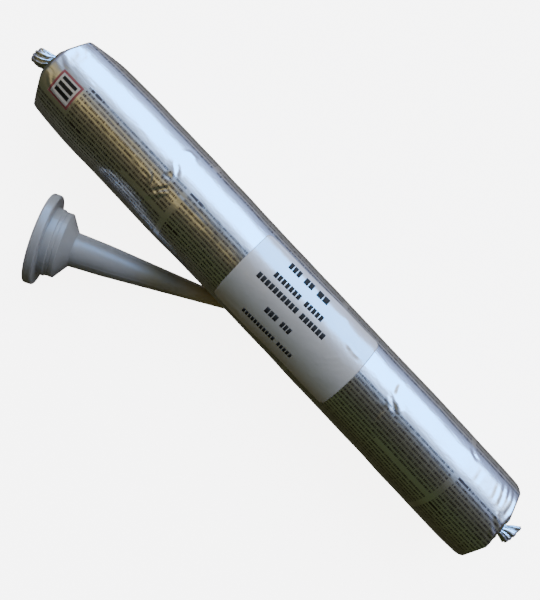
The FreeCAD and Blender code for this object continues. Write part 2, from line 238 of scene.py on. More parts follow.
# The outline of each end as x and radius, from the barrel out to the neck.
LEFT_END = [
    (-134, 24.5), (-142, 24.4), (-150, 24.1), (-156.4, 23.5), (-158.8, 21.4),
    (-160.5, 17.5), (-162.0, 12.0), (-163.0, 7.0), (-163.8, 4.0),
]
RIGHT_END = [
    (134, 24.5), (148, 24.4), (156.6, 24.1), (158.0, 22.9), (158.5, 20.8),
    (159.1, 17.0), (160.0, 12.0), (161.0, 7.4), (162.2, 4.0),
]
# The barrel's stops along x, and the step from each stop to the next.
BARREL_STOPS = [-134.0, -92.0, -66.0, 66.0, 84.0, 134.0]
BARREL_STEPS = [1.3, 0.5, 1.4, 0.5, 1.2]
END_STEP = 0.55
NECK_RADIUS = 2.85
NECKS = {-1: (-164.0, -166.2), 1: (162.5, 164.7)}
# Each tail ring: x out from the clip, the shift along Y, and the half width and half height.
TAILS = {
    -1: [
        (0.5, -0.3, 3.3, 3.1),
        (1.6, -1.4, 4.4, 4.1),
        (3.4, -2.8, 5.0, 4.6),
        (6.2, -3.6, 5.2, 4.7),
        (8.8, -4.0, 5.0, 4.4),
        (10.2, -3.9, 4.2, 3.5),
    ],
    1: [
        (0.6, 0.3, 2.9, 2.6),
        (2.4, 1.6, 3.1, 2.5),
        (5.0, 2.6, 4.8, 2.8),
        (7.0, 3.2, 5.9, 2.9),
        (8.4, 3.6, 6.7, 2.9),
    ],
}
# How far each tail is rolled over, in degrees.
TAIL_ROLL = {-1: 0.0, 1: 5.0}
# Each ring of a tail's end face, which sinks in a little: depth, and share of the last ring.
TAIL_CAP = [(0.35, 0.86), (-0.5, 0.62), (-0.9, 0.3)]
# How much film the UV map gives each ring of a tail.
TAIL_RING_STEP = 1.5
END_PLEATS = 20
TAIL_PLEATS = 9


def spaced(knots, steps):
    """Rows between knots, each stretch cut to its step by the length of the outline."""
    rows = []
    for a, b, step in zip(knots[:-1], knots[1:], steps):
        a, b = np.asarray(a, dtype=float), np.asarray(b, dtype=float)
        count = max(1, int(round(np.hypot(*(b - a)[:2]) / step)))
        rows += [a + (b - a) * n / count for n in range(count)]
    rows.append(np.asarray(knots[-1], dtype=float))
    return np.array(rows)


def rounded(rows, passes=2):
    """The same rows with their corners eased."""
    rows = rows.copy()
    for _ in range(passes):
        rows[1:-1] = 0.25 * rows[:-2] + 0.5 * rows[1:-1] + 0.25 * rows[2:]
    return rows


def barrel_outline():
    """x and radius from neck to neck, with short steps where the film is creased."""
    left = rounded(spaced(LEFT_END[::-1], [END_STEP] * (len(LEFT_END) - 1)))
    right = rounded(spaced(RIGHT_END, [END_STEP] * (len(RIGHT_END) - 1)))
    middle = spaced([(x, RADIUS) for x in BARREL_STOPS], BARREL_STEPS)
    return np.concatenate([left[:-1], middle, right[1:]])


# The film's columns lie close together as far round as the camera sees.
SEEN_ANGLE = math.radians(72.0)
SEEN_COLUMNS = 101
SIDE_COLUMNS = 33


def angle_columns():
    """The angles of the film's columns from the top."""
    top = np.linspace(-SEEN_ANGLE, SEEN_ANGLE, SEEN_COLUMNS)
    side = np.linspace(SEEN_ANGLE, math.pi, SIDE_COLUMNS)[1:]
    return np.concatenate([-side[::-1], top, side[:-1]])


def pleat_wave(angle, count, twist, sway):
    """Rounded folds with sharp valleys between them: 1 on a fold's crown and 0 in a valley."""
    eased = angle + twist
    for n, (size, phase) in enumerate(sway, start=1):
        eased = eased + size * np.sin(n * angle + phase)
    return np.abs(np.cos(0.5 * count * eased)) ** 0.8


SWAY = {
    side: [(rng.uniform(0.03, 0.09), rng.uniform(0, 2 * math.pi)) for _ in range(4)]
    for side in (-1, 1)
}


# The right end is cut askew. Each end's shoulder has flats where the film is folded: the
# direction that a flat faces and a place on it, with its height counted from the axis.
RIGHT_END_SKEW = 0.085
FLATS = [
    ((-0.25, 0.968, 0.0), (-157.0, 19.4, 0.0)),
    ((-0.84, 0.543, 0.0), (-157.8, 16.2, 0.0)),
    ((-0.8, 0.386, 0.46), (-155.1, 15.0, 18.0)),
    ((-0.78, -0.5, 0.376), (-155.2, -17.0, 15.5)),
    ((0.8, 0.386, 0.46), (154.0, 15.1, 18.0)),
    ((0.8, -0.386, 0.46), (157.0, -15.1, 18.0)),
    ((0.8, 0.1, 0.592), (155.6, -1.2, 22.0)),
]
PRESSED = 0.92
FLOOR_CLEARANCE = 0.02
# The folds of each end: their depth on the end face and on the shoulder, how far they turn
# on the way in, the height of a fold that is level with the round form, and how far the
# whole end draws in.
FACE_PLEAT_DEPTH = 1.25
SHOULDER_PLEAT_DEPTH = 0.15
PLEAT_TWIST = 0.012
PLEAT_LEVEL = 0.78
END_DRAWN_IN = 0.15


def end_pleats(x, r, angle, side):
    """The relief of one end's gathered folds, which run out on the barrel."""
    depth = FACE_PLEAT_DEPTH * smooth(24.4, 15.0, r) * (0.45 + 0.55 * smooth(3.0, 10.0, r))
    depth += SHOULDER_PLEAT_DEPTH * smooth(146.0, 157.0, side * x) * smooth(10.0, 22.0, r)
    wave = pleat_wave(angle, END_PLEATS, PLEAT_TWIST * (RADIUS - r), SWAY[side])
    uneven = 0.8 + 0.35 * np.sin(3 * angle + side) + 0.25 * np.sin(7 * angle + 2)
    drawn_in = END_DRAWN_IN * smooth(120.0, 158.0, side * x)
    return np.where(side * x > 0, (wave - PLEAT_LEVEL) * uneven * depth - drawn_in, 0.0)


def press_flats(points):
    """Presses the points that stand past each flat nearly back to it."""
    for normal, place in FLATS:
        over = (points - np.array(place) - np.array([0.0, 0.0, AXIS_Z])) @ np.array(normal)
        over = np.where(over > 0, over, 0.0)
        points -= PRESSED * over[..., None] * np.array(normal)


def shape_barrel():
    """Points of the barrel and its gathered ends, with their outline and their angles."""
    rows = barrel_outline()
    angle = angle_columns()[None, :]
    x = rows[:, :1] + 0.0 * angle
    r = rows[:, 1:] + 0.0 * angle
    s = RADIUS * angle + 0.0 * x
    slope = np.gradient(rows, axis=0)
    slope /= np.hypot(slope[:, 0], slope[:, 1])[:, None]
    out_x, out_r = -slope[:, 1:], slope[:, :1]
    relief = film_relief(x, s) * smooth(3.0, 19.0, r) + seam_relief(s)
    for side in (-1, 1):
        relief += end_pleats(x, r, angle, side)
    x = x + out_x * relief
    r = r + out_r * relief
    y = r * np.sin(angle)
    z = AXIS_Z + r * np.cos(angle)
    full = np.clip(r / RADIUS, 0.0, 1.0)
    y = y + full * bow(x)
    x = x - RIGHT_END_SKEW * y * smooth(120.0, 160.0, x) * full
    points = np.stack([x, y, z], -1)
    press_flats(points)
    points[..., 2] = np.maximum(points[..., 2], FLOOR_CLEARANCE)
    return rows, angle, points


def shape_tail(side, angle):
    """Rings of one neck and its pleated tail, from the end cone out to the tail's sunk end face."""
    rings = []
    start, end = NECKS[side]
    swing = SWAY[side]
    for share in (0.15, 0.5, 0.85):
        x = start + (end - start) * share
        wave = pleat_wave(angle, TAIL_PLEATS, 0.0, swing)
        r = NECK_RADIUS * (0.86 + 0.14 * wave)
        rings.append((x, 0.0, r, r))
    for out, shift, half_y, half_z in TAILS[side]:
        wave = pleat_wave(angle, TAIL_PLEATS, 0.05 * out, swing)
        part = 0.55 + 0.45 * wave + 0.03 * np.sin(17 * angle + out)
        rings.append((end + side * out, shift, half_y * part, half_z * part))
    last_x, shift, half_y, half_z = rings[-1]
    for depth, share in TAIL_CAP:
        rings.append((last_x + side * depth, shift, half_y * share, half_z * share))
    points = []
    for x, shift, half_y, half_z in rings:
        roll = math.radians(TAIL_ROLL[side]) * smooth(0.0, 4.0, side * (x - end))
        level, upright = half_y * np.sin(angle), half_z * np.cos(angle)
        y = shift + level * math.cos(roll) - upright * math.sin(roll)
        z = AXIS_Z + upright * math.cos(roll) + level * math.sin(roll)
        points.append(np.stack([np.full(angle.shape, x), y, z], -1))
    centre = points[-1].mean(axis=0)
    return np.array(points), centre


def make_foil_pack():
    """The whole film as one closed skin, from the end of one tail to the end of the other."""
    rows, angle, barrel = shape_barrel()
    flat_angle = angle[0]
    left, left_centre = shape_tail(-1, flat_angle)
    right, right_centre = shape_tail(1, flat_angle)
    grid = np.concatenate([left[::-1], barrel, right])
    rings, columns = grid.shape[:2]
    film = np.concatenate([[0.0], np.cumsum(np.hypot(*np.diff(rows, axis=0).T))])
    film -= film[np.argmin(np.abs(rows[:, 0]))]
    lead = film[0] - TAIL_RING_STEP * np.arange(len(left), 0, -1)
    trail = film[-1] + TAIL_RING_STEP * np.arange(1, len(right) + 1)
    u = np.concatenate([lead, film, trail])
    v = RADIUS * np.concatenate([flat_angle, [flat_angle[0] + 2 * math.pi]])
    ring_of, column_of = tube_faces(rings, columns)
    faces = (ring_of * columns + column_of % columns).tolist()
    uvs = np.stack([u[ring_of], v[column_of]], -1).reshape(-1, 2)
    points = np.concatenate([grid.reshape(-1, 3), [left_centre], [right_centre]])
    first, last = rings * columns, rings * columns + 1
    fan_uvs = []
    for n in range(columns):
        following = (n + 1) % columns
        faces.append([first, n, following])
        base = (rings - 1) * columns
        faces.append([last, base + following, base + n])
        fan_uvs += [(u[0], v[n])] * 3 + [(u[-1], v[n])] * 3
    uvs = np.concatenate([uvs, fan_uvs])
    return make_mesh("foil_film", points, faces, uvs)


foil = make_foil_pack()
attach(foil, "root")
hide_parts("foil_pack")


# The label.

LABEL_CENTRE = (14.3, -2.15)
LABEL_SIZE = (77.3, 48.8)
LABEL_TILT = math.radians(2.2)
LABEL_CORNER = 3.0
LABEL_THICKNESS = 0.16
LABEL_SEAT = 0.02
LABEL_GRID = (130, 84)
LABEL_CURL = 0.12
# How far the label's lower edge strays from straight.
LABEL_WAVER = 0.35
# Wrinkles and trapped air under the label, as the film's creases and dents are given.
LABEL_CREASES = [
    ([(36.5, -5.5), (41.5, 1.0)], -0.1, 0.7),
    ([(35.0, -10.0), (41.0, -3.0)], -0.07, 0.7),
    ([(44.5, -5.5), (47.5, -1.0)], -0.07, 0.8),
    ([(26.0, 15.5), (30.5, 13.4), (36.0, 14.2)], 0.1, 0.9),
    ([(39.0, 9.4), (44.0, 8.0), (49.5, 8.8)], -0.13, 0.8),
    ([(-18.0, -24.0), (-10.0, -22.5), (-4.0, -24.0)], -0.12, 1.2),
]
LABEL_DENTS = [
    ((41.5, 8.4), (2.0, 1.5), -0.16, 0.0),
    ((46.5, 8.0), (2.6, 1.6), -0.13, 0.0),
    ((31.0, 15.0), (4.5, 3.0), 0.12, 10.0),
]


def on_film(x, s, lift):
    """Points at a height over the round form, following the pack's bow."""
    r = RADIUS + lift
    angle = s / RADIUS
    y = r * np.sin(angle) + bow(x)
    z = AXIS_Z + r * np.cos(angle)
    return np.stack([x, y, z], -1)


def label_to_film(a, b):
    """Places on the label, from its middle, as places on the film."""
    c, n = math.cos(LABEL_TILT), math.sin(LABEL_TILT)
    return LABEL_CENTRE[0] + c * a - n * b, LABEL_CENTRE[1] + n * a + c * b


def label_lift(x, s):
    """The label's relief over the round form, which follows the film under it."""
    lift = film_relief(x, s)
    for path, depth, width in LABEL_CREASES:
        lift += crease(x, s, path, depth, width)
    for centre, radii, depth, turn in LABEL_DENTS:
        lift += dent(x, s, centre, radii, depth, turn)
    lift += 0.03 * np.sin(x / 5.3 + 1.0) * np.sin(s / 7.1)
    return lift


def corner_inset(a, b):
    """A rectangle's grid drawn in to rounded corners."""
    half_a, half_b = LABEL_SIZE[0] / 2, LABEL_SIZE[1] / 2
    core_a, core_b = half_a - LABEL_CORNER, half_b - LABEL_CORNER
    over_a = np.clip(np.abs(a) - core_a, 0.0, None)
    over_b = np.clip(np.abs(b) - core_b, 0.0, None)
    reach = np.maximum(np.hypot(over_a, over_b), 1e-9)
    scale = np.maximum(over_a, over_b) / reach
    new_a = np.sign(a) * (np.minimum(np.abs(a), core_a) + over_a * scale)
    new_b = np.sign(b) * (np.minimum(np.abs(b), core_b) + over_b * scale)
    return new_a, new_b


def make_label():
    """The label: a thin skin with an upper and an under face, joined round the edge."""
    half_a, half_b = LABEL_SIZE[0] / 2, LABEL_SIZE[1] / 2
    along, across = LABEL_GRID
    a, b = np.meshgrid(
        np.linspace(-half_a, half_a, along), np.linspace(-half_b, half_b, across), indexing="ij"
    )
    a, b = corner_inset(a, b)
    b = b + LABEL_WAVER * np.sin(a / 9.0 + 0.7) * smooth(-half_b + 8.0, -half_b, b)
    x, s = label_to_film(a, b)
    lift = label_lift(x, s)
    edge = np.maximum(np.abs(a) / half_a, np.abs(b) / half_b)
    curl = LABEL_CURL * smooth(0.93, 1.0, edge) * (0.5 + 0.5 * np.sin(a / 6.0 + b / 4.0))
    top = on_film(x, s, LABEL_SEAT + LABEL_THICKNESS + lift + curl)
    under = on_film(x, s, LABEL_SEAT + film_relief(x, s))
    faces = slab_faces(along, across)
    points = np.concatenate([top.reshape(-1, 3), under.reshape(-1, 3)])
    flat = np.stack([a, b], -1).reshape(-1, 2)
    flat = np.concatenate([flat, flat])
    uvs = flat[np.concatenate([np.asarray(face) for face in faces])]
    return make_mesh("label_sticker", points, faces, uvs)


label = make_label()
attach(label, "root")
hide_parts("label")


# The marks on the label: plain blocks in rows. Each row is its height across the label,
# its thickness, the runs of blocks along it, and the blocks' pitch.
MARK_ROWS = [
    (18.9, 4.1, [(-20.8, -12.8), (-10.4, -4.2), (-1.6, 6.1)], 3.1),
    (9.6, 3.1, [(-23.1, -5.6), (-2.8, 9.3)], 2.5),
    (3.8, 3.1, [(-28.9, -2.2), (-0.4, 15.7)], 2.6),
    (-5.9, 3.1, [(-14.5, -6.4), (-4.2, 2.5)], 2.4),
    (-15.4, 2.6, [(-22.5, -0.8), (1.2, 11.1)], 2.0),
]
MARK_GAP = 0.5
# How far a mark stands over the label, and how far it reaches into it.
MARK_RAISED, MARK_SUNK = 0.02, 0.05
MARK_CELLS = 4


def mark_blocks():
    """Each block of each row, as its middle and half size on the label."""
    blocks = []
    for height, thickness, runs, pitch in MARK_ROWS:
        for start, end in runs:
            count = max(1, int(round((end - start) / pitch)))
            step = (end - start) / count
            for n in range(count):
                middle = start + (n + 0.5) * step
                blocks.append((middle, height, (step - MARK_GAP) / 2, thickness / 2))
    return blocks


def make_marks():
    """The blocks as one mesh of thin slabs that follow the label."""
    points, faces = [], []
    for middle, height, half_a, half_b in mark_blocks():
        a, b = np.meshgrid(
            np.linspace(middle - half_a, middle + half_a, MARK_CELLS),
            np.linspace(height - half_b, height + half_b, MARK_CELLS),
            indexing="ij",
        )
        x, s = label_to_film(a, b)
        base = LABEL_SEAT + LABEL_THICKNESS + label_lift(x, s)
        faces += slab_faces(MARK_CELLS, MARK_CELLS, len(points))
        for lift in (base + MARK_RAISED, base - MARK_SUNK):
            points += on_film(x, s, lift).reshape(-1, 3).tolist()
    return make_mesh("label_marks", points, faces)


marks = make_marks()
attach(marks, "root")


# The nozzle, turned about its own axis. Each corner of its section is a place along
# the axis from the back of the flange, a radius, and the size of its rounding.

NOZZLE_SECTION = [
    (0.0, 16.3, 0.5),
    (0.0, 24.3, 1.3),
    (4.9, 24.3, 1.3),
    (4.9, 18.1, 0.5),
    (8.4, 18.1, 0.35),
    (8.75, 17.5, 0.3),
    (10.1, 17.5, 0.1),
    (10.3, 17.3, 0.1),
    (10.6, 17.3, 0.1),
    (10.8, 17.5, 0.1),
    (12.9, 17.5, 0.8),
    (18.3, 9.3, 0.9),
    (35.8, 8.55, 12.0),
    (113.2, 2.75, 0.4),
    (113.2, 1.45, 0.2),
    (35.8, 7.25, 12.0),
    (17.65, 8.0, 0.8),
    (11.6, 16.3, 1.2),
]
# The socket's mount is the middle of the bore in the nozzle's back, and faces out of it.
mounts = {mount["name"]: mount for mount in frame["record"]["mounts"]}
socket = mounts["nozzle_socket"]
NOZZLE_AXIS = tuple(-part for part in socket["axis"])
HALF_BORE = 0.5 * socket["dims"]["length_mm"]
NOZZLE_BACK = np.array(socket["pos_m"]) / MM - HALF_BORE * np.array(NOZZLE_AXIS)
# The mould's parting ridge: its height, its half width, its place round the spout, and
# how far it runs along the spout, fading at both ends.
RIDGE_HEIGHT = 0.14
RIDGE_WIDTH = 0.35
RIDGE_AT = math.radians(42.0)
SPOUT_FROM, SPOUT_TO = 18.6, 112.4
RIDGE_FULL_FROM, RIDGE_FULL_TO, RIDGE_END = 22.0, 96.0, 110.0
# A cone that parts the spout's outside from its bore: its radius, its taper, and where
# that starts.
PARTING_RADIUS = 8.4
SPOUT_TAPER = 0.075
TAPER_FROM = 30.0
NOZZLE_COLUMNS = 144


def rounded_section(corners, steps=5):
    """A closed outline with each corner rounded by an arc, and long runs cut up."""
    outline = []
    count = len(corners)
    for n, (x, r, radius) in enumerate(corners):
        here = np.array([x, r])
        before = np.array(corners[n - 1][:2]) - here
        after = np.array(corners[(n + 1) % count][:2]) - here
        reach_before, reach_after = np.hypot(*before), np.hypot(*after)
        before, after = before / reach_before, after / reach_after
        half = 0.5 * math.acos(np.clip(np.dot(before, after), -1.0, 1.0))
        reach = radius / math.tan(half)
        reach = min(reach, 0.48 * reach_before, 0.48 * reach_after)
        start, end = here + before * reach, here + after * reach
        for t in np.linspace(0.0, 1.0, steps + 1):
            outline.append((1 - t) ** 2 * start + 2 * t * (1 - t) * here + t**2 * end)
    longest = 4.0
    fine = []
    for a, b in zip(outline, outline[1:] + outline[:1]):
        cuts = max(1, int(np.hypot(*(b - a)) / longest))
        fine += [a + (b - a) * k / cuts for k in range(cuts)]
    return np.array(fine)


def axis_frame(axis):
    """The nozzle's own three directions: along it, level to its left, and up."""
    along = Vector(axis).normalized()
    side = Vector((0, 0, 1)).cross(along).normalized()
    up = along.cross(side)
    return np.array(along), np.array(side), np.array(up)


def make_nozzle():
    """The nozzle as one closed moulding, with the fine ridge that its mould's halves leave."""
    section = rounded_section(NOZZLE_SECTION)
    turn = np.linspace(0.0, 2 * math.pi, NOZZLE_COLUMNS, endpoint=False)
    along, side, up = axis_frame(NOZZLE_AXIS)
    x = section[:, :1] + 0.0 * turn
    r = section[:, 1:] + 0.0 * turn
    cone = PARTING_RADIUS - SPOUT_TAPER * np.clip(x - TAPER_FROM, 0, None)
    on_spout = (x > SPOUT_FROM) & (x < SPOUT_TO) & (r > cone)
    ridge = np.exp(-((np.sin(turn - RIDGE_AT) * r / RIDGE_WIDTH) ** 2))
    fade = smooth(SPOUT_FROM, RIDGE_FULL_FROM, x) * (1.0 - smooth(RIDGE_FULL_TO, RIDGE_END, x))
    r = r + RIDGE_HEIGHT * ridge * fade * on_spout
    points = (
        NOZZLE_BACK
        + x[..., None] * along
        + (r * np.cos(turn))[..., None] * up
        - (r * np.sin(turn))[..., None] * side
    )
    rings, columns = x.shape
    ring_of, column_of = tube_faces(rings + 1, columns)
    faces = ring_of % rings * columns + column_of % columns
    return make_mesh("nozzle_moulding", points.reshape(-1, 3), faces.tolist())


nozzle = make_nozzle()
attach(nozzle, "root")
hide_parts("nozzle")


# The wire clips.

CLIP_RING_RADIUS = 4.05
CLIP_WIRE_RADIUS = 1.1
CLIP_GAP_DEGREES = 3.2
CLIP_HALF_WIDTH = 0.8
CLIP_NIP = 0.12


def make_clip(name, side):
    """A crimped wire ring: pressed flat on both faces, nipped in places, with butted ends."""
    start, end = NECKS[side]
    centre_x = 0.5 * (start + end)
    half_gap = math.radians(CLIP_GAP_DEGREES)
    turns = np.linspace(math.pi + half_gap, 3 * math.pi - half_gap, 97)
    around = np.linspace(0.0, 2 * math.pi, 20, endpoint=False)
    rings = []
    for turn in turns:
        nip = CLIP_NIP * math.exp(-((math.sin(1.5 * turn + side) / 0.16) ** 2))
        flattened = np.sign(np.cos(around)) * np.abs(np.cos(around)) ** 0.75
        wire_x = flattened * (CLIP_HALF_WIDTH - nip)
        wire_r = (CLIP_WIRE_RADIUS - 0.5 * nip) * np.sin(around)
        r = CLIP_RING_RADIUS + wire_r
        points = [centre_x + wire_x, r * math.sin(turn), AXIS_Z + r * math.cos(turn)]
        rings.append(np.stack(np.broadcast_arrays(*points), -1))
    grid = np.array(rings)
    count, columns = grid.shape[:2]
    ring_of, column_of = tube_faces(count, columns)
    faces = (ring_of * columns + column_of % columns).tolist()
    faces.append(list(range(columns))[::-1])
    faces.append([(count - 1) * columns + n for n in range(columns)])
    clip = make_mesh(name, grid.reshape(-1, 3), faces)
    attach(clip, "root")
    return clip


left_clip = make_clip("left_wire_clip", -1)
right_clip = make_clip("right_wire_clip", 1)
for clip, node in ((left_clip, "left_end_clip"), (right_clip, "right_end_clip")):
    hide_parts(node)


# Materials.


class Nodes:
    """A node tree under construction, with short ways to add and join its nodes."""

    def __init__(self, tree):
        self.tree = tree

    def add(self, kind, **settings):
        node = self.tree.nodes.new("ShaderNode" + kind)
        for key, value in settings.items():
            setattr(node, key, value)
        return node

    def feed(self, socket, value):
        """Links a socket to another, or sets it to a plain value."""
        if isinstance(value, bpy.types.NodeSocket):
            self.tree.links.new(value, socket)
        else:
            socket.default_value = value

    def math(self, operation, *values):
        node = self.add("Math", operation=operation)
        for socket, value in zip(node.inputs, values):
            self.feed(socket, value)
        return node.outputs[0]

    def rise(self, value, low, high, curve="LINEAR"):
        """0 below low, 1 above high, and a line between. high may be under low."""
        node = self.add("MapRange", interpolation_type=curve)
        self.feed(node.inputs["Value"], value)
        ends = (low, high, 0.0, 1.0) if low < high else (high, low, 1.0, 0.0)
        for name, number in zip(("From Min", "From Max", "To Min", "To Max"), ends):
            node.inputs[name].default_value = number
        return node.outputs["Result"]

    def step(self, value, low, high):
        """The same with a smooth curve between."""
        return self.rise(value, low, high, "SMOOTHSTEP")

    def band(self, value, low, high, soft):
        """1 between low and high, 0 outside."""
        return self.math(
            "MULTIPLY",
            self.step(value, low - soft, low + soft),
            self.step(value, high + soft, high - soft),
        )

    def every(self, *masks):
        """The product of several masks."""
        product = masks[0]
        for mask in masks[1:]:
            product = self.math("MULTIPLY", product, mask)
        return product

    def mix(self, share, first, second, blend_type="MIX"):
        """A colour between two colours."""
        node = self.add("Mix", data_type="RGBA", blend_type=blend_type)
        self.feed(node.inputs[0], share)
        self.feed(node.inputs[6], first)
        self.feed(node.inputs[7], second)
        return node.outputs[2]

    def blend(self, share, first, second):
        """A number between two numbers."""
        node = self.add("Mix", data_type="FLOAT")
        self.feed(node.inputs[0], share)
        self.feed(node.inputs[2], first)
        self.feed(node.inputs[3], second)
        return node.outputs[0]


class Shader(Nodes):
    """A material under construction."""

    def __init__(self, name):
        self.material = bpy.data.materials.new(name)
        self.material.use_nodes = True
        super().__init__(self.material.node_tree)
        self.surface = self.tree.nodes["Principled BSDF"]

    def set(self, **inputs):
        """Feeds the surface's sockets, named with underscores for their spaces."""
        for key, value in inputs.items():
            self.feed(self.surface.inputs[key.replace("_", " ")], value)

    def noise(self, vector, scale, detail=2.0, roughness=0.5):
        node = self.add("TexNoise")
        self.feed(node.inputs["Vector"], vector)
        node.inputs["Scale"].default_value = scale
        node.inputs["Detail"].default_value = detail
        node.inputs["Roughness"].default_value = roughness
        return node.outputs["Fac"]

    def stretched(self, vector, scale):
        """Coordinates scaled differently along each axis."""
        node = self.add("Mapping")
        self.feed(node.inputs["Vector"], vector)
        node.inputs["Scale"].default_value = scale
        return node.outputs["Vector"]

    def bump(self, height, strength, distance, normal=None):
        node = self.add("Bump")
        node.inputs["Strength"].default_value = strength
        node.inputs["Distance"].default_value = distance
        self.feed(node.inputs["Height"], height)
        if normal is not None:
            self.feed(node.inputs["Normal"], normal)
        return node.outputs["Normal"]

    def cell_edge(self, place):
        """Uneven cells along a line: how far a place is from the edge of its cell."""
        node = self.add("TexVoronoi", voronoi_dimensions="1D", feature="DISTANCE_TO_EDGE")
        self.feed(node.inputs["W"], place)
        node.inputs["Scale"].default_value = 1.0
        node.inputs["Randomness"].default_value = 0.95
        return node.outputs["Distance"]

    def chance(self, place):
        """An even random number for each whole number."""
        node = self.add("TexWhiteNoise", noise_dimensions="1D")
        self.feed(node.inputs["W"], place)
        return node.outputs["Value"]

    def object_place(self):
        return self.add("TexCoord").outputs["Object"]


def grey(value, tint=(1.0, 1.0, 1.0)):
    """A colour of one brightness, tinted."""
    return tuple(value * part for part in tint) + (1.0,)


# The print on the film: rows of small plain blocks along the pack. The rows stop at a bare
# strip on top, at gaps across the pack, at the seam, and at a plain ruled box near the left
# end. They are farther apart beyond the strip.
ROW_TOP = 4.45
ROW_PITCH = 2.15
FAR_PITCH = 3.0
ROWS_IN_STRIP = 8
STRIP_TOP = ROW_TOP + ROWS_IN_STRIP * ROW_PITCH
ROWS_IN_PARAGRAPH = 9
GAP_SPACING = 93.5
GAP_SLANT = -0.03
FIRST_GAP = -66.0
GAPS_LEFT_OF_ZERO = 8.0
MARGIN_START, MARGIN_END = 1.7, 1.4
# A paragraph's last row ends early, at this length plus a random share of the spread.
LAST_ROW_LENGTH, LAST_ROW_SPREAD = 52.0, 18.0
# A paragraph starts with a bolder run, which is set in on the block at the left end.
BOLD_LENGTH = 8.5
BOLD_INDENT = 25.0
WORD_LENGTH = 5.2
LETTER_LENGTH = 0.98
# Half the height of a row's blocks as a share of the pitch: the least, and what chance adds.
LEAST_HEIGHT, HEIGHT_SPREAD = 0.22, 0.09
BOLD_HEIGHT = 0.05
LEAST_WEIGHT = 0.72
SOFT_EDGE = 0.05
BOX_CENTRE = (-142.6, -5.9)
BOX_HALF = 7.0
BOX_LINE = 1.25
# The bare film round the box: how far it goes past the box, and the stretch of s it takes.
BOX_BARE_TO = 1.2
BOX_BARE_ROWS = (-15.0, 6.0)
BAR_PITCH = 3.3


def printed_place(shader, u, s):
    """Where the film carries print, with each place's row, distance off it, run and block."""
    m = shader.math
    far = m("GREATER_THAN", s, STRIP_TOP)
    first_edge = m("ADD", ROW_TOP, m("MULTIPLY", far, STRIP_TOP - ROW_TOP))
    pitch = m("ADD", ROW_PITCH, m("MULTIPLY", far, FAR_PITCH - ROW_PITCH))
    rows = m("DIVIDE", m("SUBTRACT", first_edge, s), pitch)
    row = m("FLOOR", rows)
    across = m("ABSOLUTE", m("SUBTRACT", m("FRACT", rows), 0.5))
    gaps = m("DIVIDE", m("SUBTRACT", u, m("ADD", FIRST_GAP, m("MULTIPLY", s, GAP_SLANT))), GAP_SPACING)
    gaps = m("ADD", gaps, GAPS_LEFT_OF_ZERO)
    run = m("MULTIPLY", m("FRACT", gaps), GAP_SPACING)
    between = shader.band(run, MARGIN_START, GAP_SPACING - MARGIN_END, 0.1)
    outside_strip = m("SUBTRACT", 1.0, shader.band(s, ROW_TOP, STRIP_TOP, SOFT_EDGE))
    beside_box = m("LESS_THAN", u, BOX_CENTRE[0] + BOX_HALF + BOX_BARE_TO)
    beside_box = m("MULTIPLY", beside_box, shader.band(s, *BOX_BARE_ROWS, SOFT_EDGE))
    beside_box = m("SUBTRACT", 1.0, beside_box)
    on_seam = shader.band(s, SEAM_AT - SEAM_LAP - 0.5, SEAM_AT + 0.5, SOFT_EDGE)
    carries = shader.every(between, outside_strip, beside_box, m("SUBTRACT", 1.0, on_seam))
    return carries, row, across, run, m("FLOOR", gaps)


def fine_print(shader, u, s):
    """A mask for the rows of blocks, in words of uneven length and blocks of uneven height."""
    m = shader.math
    carries, row, across, run, block = printed_place(shader, u, s)
    above = m("MULTIPLY", m("LESS_THAN", row, -0.5), ROWS_IN_STRIP)
    place = m("FLOORED_MODULO", m("ADD", row, above), ROWS_IN_PARAGRAPH)
    first_row = m("LESS_THAN", place, 0.5)
    last_row = m("GREATER_THAN", place, ROWS_IN_PARAGRAPH - 1.5)
    luck = shader.chance(m("ADD", row, m("MULTIPLY", block, 7.0)))
    line_end = m("ADD", LAST_ROW_LENGTH, m("MULTIPLY", LAST_ROW_SPREAD, luck))
    before_end = m("MAXIMUM", m("LESS_THAN", run, line_end), m("SUBTRACT", 1.0, last_row))
    lead = m("MULTIPLY", m("LESS_THAN", u, FIRST_GAP), BOLD_INDENT)
    lead = m("ADD", MARGIN_START, lead)
    lead_end = m("ADD", lead, BOLD_LENGTH)
    bold = shader.every(first_row, m("GREATER_THAN", run, lead), m("LESS_THAN", run, lead_end))
    offset = m("MULTIPLY", shader.chance(row), 57.0)
    word = shader.cell_edge(m("ADD", m("DIVIDE", u, WORD_LENGTH), offset))
    word = shader.step(word, 0.02, 0.05)
    letter_place = m("ADD", m("DIVIDE", u, LETTER_LENGTH), m("MULTIPLY", offset, 3.0))
    letter = shader.step(shader.cell_edge(letter_place), 0.04, 0.14)
    letter_number = m("FLOOR", letter_place)
    weight = m("MULTIPLY", 1.0 - LEAST_WEIGHT, shader.chance(letter_number))
    letter = m("MAXIMUM", m("MULTIPLY", letter, m("ADD", LEAST_WEIGHT, weight)), bold)
    height = m("MULTIPLY", shader.chance(m("ADD", letter_number, 0.5)), HEIGHT_SPREAD)
    height = m("ADD", m("ADD", LEAST_HEIGHT, height), m("MULTIPLY", bold, BOLD_HEIGHT))
    return shader.every(m("LESS_THAN", across, height), word, letter, before_end, carries)


